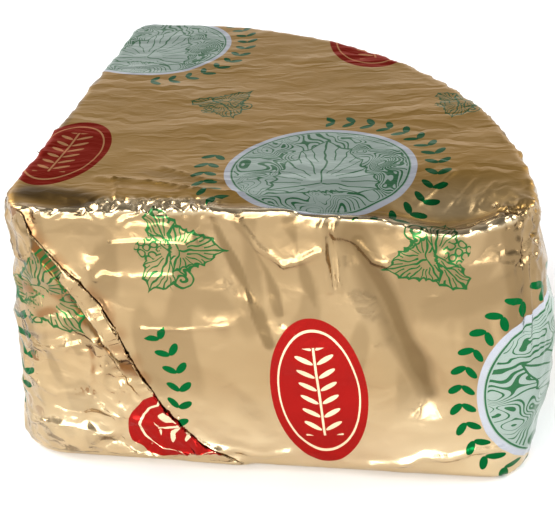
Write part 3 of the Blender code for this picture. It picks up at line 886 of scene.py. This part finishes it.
cling.offset = FLAP_GAP * MM
bpy.ops.object.modifier_apply(modifier=cling.name)
soften(flap, FLAP_PASSES)
places, normals = mesh_points(flap.data)
if np.mean(normals[:, 1]) > 0:
    flap.data.flip_normals()
    places, normals = mesh_points(flap.data)

# A hem is folded over along the free edge: it stands a little proud behind a groove, and ends below
# in loose creases. The line gives distances along the foil and levels.
HEM_LINE = (
    (38.7, 29.3), (33.0, 38.4), (27.1, 44.8), (23.8, 50.8), (19.2, 60.7), (13.8, 73.7), (8.0, 84.0),
)
FLAP_CREASES = (
    (((2.0, 40.0), (10.0, 42.0), (20.0, 44.0), (26.0, 45.0)), 0.7, 1.3),
    (((26.0, 45.0), (22.0, 36.0), (20.0, 26.0)), 0.5, 1.3),
    (((30.0, 38.0), (34.0, 30.0), (40.0, 22.0)), 0.6, 1.4),
    (((28.0, 33.0), (32.0, 27.0), (30.0, 18.0)), 0.5, 1.2),
    (((3.0, 30.0), (10.0, 25.0), (16.0, 27.0)), 0.5, 1.3),
    (((1.0, 12.0), (9.0, 15.0), (20.0, 12.0)), 0.6, 1.4),
    (((10.0, 74.0), (4.0, 70.0), (-2.0, 72.0)), 0.5, 1.2),
    (((46.0, 24.0), (48.0, 12.0), (54.0, 5.0)), 0.35, 1.0),
)
HEM_RISE, HEM_GROOVE, HEM_FOLD, EDGE_LIFT = 0.6, 0.45, 0.25, 0.10
from_edge = edge - run
hem = run - np.interp(level, [z for _, z in HEM_LINE], [s for s, _ in HEM_LINE])
has_hem = ramp(level, 26.0, 33.0) * ramp(level, 84.0, 80.0)
height = HEM_RISE * ramp(hem, -0.3, 0.3) * has_hem * (0.4 + 0.6 * ramp(from_edge, 0.0, 4.0))
height -= HEM_GROOVE * np.clip(1 - np.abs(hem + 0.9) / 1.0, 0.0, 1.0) * has_hem
height += HEM_FOLD * np.clip(1 - np.abs(hem - 0.7) / 0.8, 0.0, 1.0) * has_hem
height += EDGE_LIFT * np.clip(1 - from_edge / 1.2, 0.0, 1.0)
for points, rise, width in FLAP_CREASES:
    height += rise * ridge(points, width, run, level) ** FOLD_SHARPNESS
worked = ramp(np.hypot((run - 30.0) / 14.0, (level - 32.0) / 16.0), 1.0, 0.0)
FLAP_CRUMPLES = (
    (1.0, 0.45, (15.0, 15.0, 11.0), 11),
    (1.0, 0.22, 6.0, 12),
    (worked, 0.40, 3.2, 13),
)
for zone, rise, folds, seed in FLAP_CRUMPLES:
    height += rise * zone * crumple(places, folds, seed)

# Its other three sides are tucked into the wrapper.
LEAST_HEIGHT, TUCK, FREE_STRIP = -0.3, 0.9, 3.0
tucked = np.maximum(ramp(run, FLAP_END + 5.0, FLAP_END), ramp(level, 83.0, 86.4))
tucked = np.maximum(tucked, ramp(level, 2.4, 0.4))
height = np.maximum(height, LEAST_HEIGHT) * (1 - tucked) - TUCK * tucked * (from_edge > FREE_STRIP)
places += normals * height[:, None]
places[:, 2] = np.maximum(places[:, 2], 0.3)
put_points(flap.data, places)

# The flap's own print. The hem shows the sheet's plain side, so the sprig stops at it.
FLAP_PRINT = (
    ("oval", (("wall", 54.3, -68.8, 105.6, 1.0),)),
    ("roundel", ()),
    ("wreath", (("wall", -32.0, -47.0, 0.0, 1.0),)),
    ("sprig", (("wall", 9.5, -26.5, 25.0, 1.14),)),
)
point, face, count = face_corners(flap.data)
u, v = run[point], level[point] - HEIGHT
for layer in list(flap.data.uv_layers):
    flap.data.uv_layers.remove(layer)
put_map(flap.data, "sheet", np.stack((u, v), axis=1))
for name, motifs in FLAP_PRINT:
    local = motif_places(motifs, (u, v, face, np.zeros(len(count), bool), count))
    if name == "sprig":
        # A face is on the hem where its first corner is.
        on_hem = ((hem > 0.0) & (has_hem > 0.3))[point]
        local[on_hem[np.searchsorted(face, face)]] = FAR_AWAY
    put_map(flap.data, name, local)

# Amber painted shade runs down below the hem in streaks and lies in its fold, and a painted dark line
# shades the fold. Painted shade in patches, darker upwards, stands for facets that mirror different
# parts of the room, and a painted highlight makes the foot paler, as on the sheet below.
AMBER_SHADE_STREAKS = (
    (((21.5, 46.0), (22.5, 40.0), (22.0, 31.0)), 1.1, 0.75),
    (((31.0, 44.0), (35.0, 38.0)), 2.6, 0.6),
)
streak = 0.6 * np.clip(1.6 - np.abs(hem + 1.6) / 1.0, 0.0, 1.0) * has_hem
for points, width, share in AMBER_SHADE_STREAKS:
    streak = np.maximum(streak, share * ridge(points, width, run, level))
streak_patches = ramp(crumple(places, 5.0, 22, ridged=False), -0.6, 0.4)
put_share(flap.data, "amber_painted_shade", streak * streak_patches)
shaded = np.clip(1.8 - np.abs(hem + 1.2) / 0.75, 0.0, 1.0) * has_hem
patches = 0.30 * ramp(crumple(places, (6.0, 6.0, 11.0), 32, ridged=False), 0.0, 0.3846)
patches += 0.20 * ramp(level, 30.0, 64.0)
put_share(flap.data, "painted_shade", np.maximum(shaded, patches))
put_share(flap.data, "painted_highlight", 0.35 * ramp(level, 40.0, 10.0))

# The same lacquered foil, worked harder by the folding, so its facets are steeper and glint more.
FLAP_SLOPES, FLAP_CALM_TOP = (0.24, 0.15, 0.09), 0.0
thick = flap.modifiers.new("foil", "SOLIDIFY")
thick.thickness = FOIL_THICK * MM
thick.offset = -1.0
bpy.ops.object.modifier_apply(modifier=thick.name)
flap.data.shade_smooth()
flap.data.materials.clear()
foil = foil_material("folded_gold_lacquered_foil", FLAP_SLOPES, FLAP_CALM_TOP)
flap.data.materials.append(foil)
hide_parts("foil_wrapped_wedge")
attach(flap, "root")

# The stage: a plain pale floor of matt painted board under soft studio light. The sky is bright near
# the horizon and dims upwards, which gives the walls their light and, with the darker gold painted
# on top as shade, the top its deeper gold.
FLOOR_SIZE = 8.0
FLOOR_WHITE, FLOOR_ROUGHNESS = (0.9, 0.9, 0.9, 1.0), 0.9
SKY_FADE = ((0.04, 1.0), (0.36, 0.42), (0.95, 0.15))
SKY_STRENGTH = 1.35
bpy.ops.object.select_all(action="DESELECT")
bpy.ops.mesh.primitive_plane_add(size=FLOOR_SIZE, location=(0.0, 0.0, 0.0))
floor = bpy.context.view_layer.objects.active
floor.name = "floor"
board = bpy.data.materials.new("matt_painted_board")
board.use_nodes = True
floor_shader = board.node_tree.nodes["Principled BSDF"]
floor_shader.inputs["Base Color"].default_value = FLOOR_WHITE
floor_shader.inputs["Roughness"].default_value = FLOOR_ROUGHNESS
floor.data.materials.append(board)

world = bpy.data.worlds.new("studio")
bpy.context.scene.world = world
world.use_nodes = True
sky = world.node_tree
ray = add_node(sky, "TexCoord")
upward = add_node(sky, "SeparateXYZ", ray, out=2)
fade = add_node(sky, "ValToRGB", upward)
stops = fade.node.color_ramp.elements
stops.new(SKY_FADE[1][0])
for stop, (place, light) in zip(stops, SKY_FADE):
    stop.position = place
    stop.color = (light, light, light, 1.0)
sky.links.new(fade, sky.nodes["Background"].inputs[0])
sky.nodes["Background"].inputs[1].default_value = SKY_STRENGTH

# Lights: two at the sides, a low strip that catches the foot, and one in front and above. Each has
# its place, what it faces, its width and height, and its power.
LIGHTS = (
    ("left_light", (-1.0, 0.15, 0.85), (0.0, 0.05, 0.0), (0.8, 0.8), 13.5),
    ("right_light", (1.0, 0.15, 0.85), (0.0, 0.05, 0.0), (0.8, 0.8), 13.5),
    ("low_light", (-0.25, -0.95, 0.17), (0.0, 0.0, 0.03), (0.9, 0.22), 2.6),
    ("front_light", (-0.30, -1.05, 0.62), (0.0, 0.0, 0.03), (0.9, 0.9), 11.0),
)
for name, place, target, size, power in LIGHTS:
    bpy.ops.object.light_add(type="AREA", location=place)
    lamp = bpy.context.view_layer.objects.active
    lamp.name = name
    lamp.data.shape = "RECTANGLE"
    lamp.data.size, lamp.data.size_y = size
    lamp.data.energy = power
    aim = Vector(target) - Vector(place)
    lamp.rotation_euler = aim.to_track_quat("-Z", "Y").to_euler()

# The camera stands in front and above, a little right of the middle, as in the photograph. Its place
# is counted from the tip corner.
CAMERA_AT = (130.81, -281.38, 234.96)
CAMERA_YAW, CAMERA_PITCH, CAMERA_ROLL = -10.206, 29.467, -4.543
FOCAL_PIXELS, PICTURE_WIDTH = 1193.1, 555
SENSOR_WIDTH = 36.0
yaw, pitch, roll = (math.radians(a) for a in (CAMERA_YAW, CAMERA_PITCH, CAMERA_ROLL))
ahead = Vector((math.cos(pitch) * math.sin(yaw), math.cos(pitch) * math.cos(yaw), -math.sin(pitch)))
level_right = Vector((math.cos(yaw), -math.sin(yaw), 0.0))
level_up = level_right.cross(ahead)
right = level_right * math.cos(roll) + level_up * math.sin(roll)
up = level_up * math.cos(roll) - level_right * math.sin(roll)
bpy.ops.object.camera_add()
camera = bpy.context.view_layer.objects.active
camera.name = "photo_camera"
turn = Matrix((right, up, -ahead)).transposed().to_4x4()
place = Vector(((CAMERA_AT[0] + TIP_AT[0]) * MM, (CAMERA_AT[1] + TIP_AT[1]) * MM, CAMERA_AT[2] * MM))
camera.matrix_world = Matrix.Translation(place) @ turn
camera.data.sensor_width = SENSOR_WIDTH
camera.data.lens = FOCAL_PIXELS / PICTURE_WIDTH * SENSOR_WIDTH
camera.data.clip_start = 0.01
bpy.context.scene.camera = camera
bpy.context.scene.view_settings.view_transform = "Standard"
